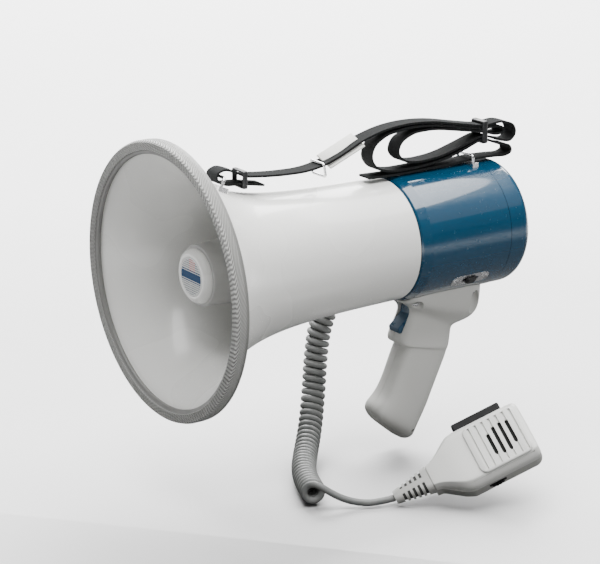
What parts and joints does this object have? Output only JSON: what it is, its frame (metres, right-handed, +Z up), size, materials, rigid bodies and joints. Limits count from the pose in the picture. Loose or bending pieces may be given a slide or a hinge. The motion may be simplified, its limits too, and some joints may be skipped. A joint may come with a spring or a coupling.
{
  "type": "handheld megaphone",
  "caption": "Handheld megaphone with a flared horn, pistol grip with trigger, shoulder strap and a hand microphone on a coiled cord.",
  "frame": {"origin": "middle of the grip, on its centre plane, where the hand closes round it", "axes": "+X runs back along the horn from its mouth, +Z is up, the grip hangs down -Z"},
  "size_m": [0.3594, 0.2853, 0.3118],
  "materials": {
    "horn_white": "gloss",
    "trim_grey": "satin",
    "badge_print": "gloss",
    "reflector_grey": "satin",
    "steel": "satin",
    "diaphragm": "satin",
    "magnet": "matte",
    "housing_blue": "gloss",
    "black_plastic": "satin",
    "circuit_board": "satin",
    "aluminium": "satin",
    "cell_jacket": "gloss",
    "seal_rubber": "matte",
    "bright_steel": "polished",
    "grip_grey": "satin",
    "trigger_blue": "satin",
    "webbing": "woven",
    "tag_white": "satin",
    "cord_grey": "satin",
    "boot_grey": "satin",
    "mic_light": "satin",
    "mic_grey": "satin",
    "key_black": "satin",
    "grille_cloth": "woven"
  },
  "bodies": {
    "root": {"amplifier_board": "circuit_board", "badge": "badge_print", "battery_cells": "cell_jacket", "battery_holder": "black_plastic", "board_components": "black_plastic", "bulkhead": "black_plastic", "cell_springs": "steel", "clamp_screws": "steel", "coiled_cord": "cord_grey", "cord_gland": "cord_grey", "cord_lead": "cord_grey", "cord_tail": "cord_grey", "driver_basket": "steel", "driver_diaphragm": "diaphragm", "driver_magnet": "magnet", "driver_screws": "steel", "front_bracket": "bright_steel", "front_ring": "bright_steel", "grille_cloth": "grille_cloth", "grip_far_half": "grip_grey", "grip_near_half": "grip_grey", "hang_button": "mic_grey", "heat_sink": "aluminium", "horn_bell": "horn_white", "key_pin": "steel", "key_switch": "black_plastic", "mic_back_shell": "mic_grey", "mic_board": "circuit_board", "mic_boot": "boot_grey", "mic_capsule": "steel", "mic_front_shell": "mic_light", "mic_screws": "steel", "rear_bracket": "bright_steel", "rear_housing": "housing_blue", "rear_ring": "bright_steel", "reflector_cap": "horn_white", "reflector_cup": "reflector_grey", "rim_trim": "trim_grey", "saddle_screws": "bright_steel", "shoulder_strap": "webbing", "strap_keeper": "webbing", "strap_tag": "tag_white", "strap_tie": "webbing", "switch_body": "black_plastic", "switch_plate": "bright_steel", "switch_plate_screws": "bright_steel", "throat_tube": "reflector_grey", "trigger_pin": "steel", "trigger_switch": "black_plastic", "wheel_spindle": "steel", "wire_loop": "bright_steel"},
    "trigger": {"trigger": "trigger_blue"},
    "slide_knob": {"slide_knob": "black_plastic"},
    "rear_cover": {"rear_cover": "housing_blue", "cover_seal": "seal_rubber"},
    "talk_key": {"talk_key": "key_black"},
    "volume_wheel": {"volume_wheel": "key_black"}
  },
  "joints": [
    {"name": "trigger_pull", "type": "hinge", "parent": "root", "child": "trigger", "pos_m": [-0.0015, 0, 0.061], "axis": [0, -1, 0], "range_deg": [0, 6], "stiffness_Nm_per_rad": 0.35, "springref_deg": -14.32},
    {"name": "mode_slide", "type": "slide", "parent": "root", "child": "slide_knob", "axis": [1, 0, 0], "range_m": [-0.004, 0.004]},
    {"name": "cover_pull", "type": "slide", "parent": "root", "child": "rear_cover", "axis": [1, 0, 0], "range_m": [0, 0.06]},
    {"name": "talk_press", "type": "hinge", "parent": "root", "child": "talk_key", "pos_m": [-0.00205, -0.12268, -0.0034], "axis": [-0.5808, -0.4728, 0.6627], "range_deg": [0, 4], "stiffness_Nm_per_rad": 0.3, "springref_deg": -11.46},
    {"name": "volume_turn", "type": "hinge", "parent": "root", "child": "volume_wheel", "pos_m": [-0.02211, -0.14072, -0.04441], "axis": [-0.5808, -0.4728, 0.6627], "range_deg": [-135, 135]}
  ]
}
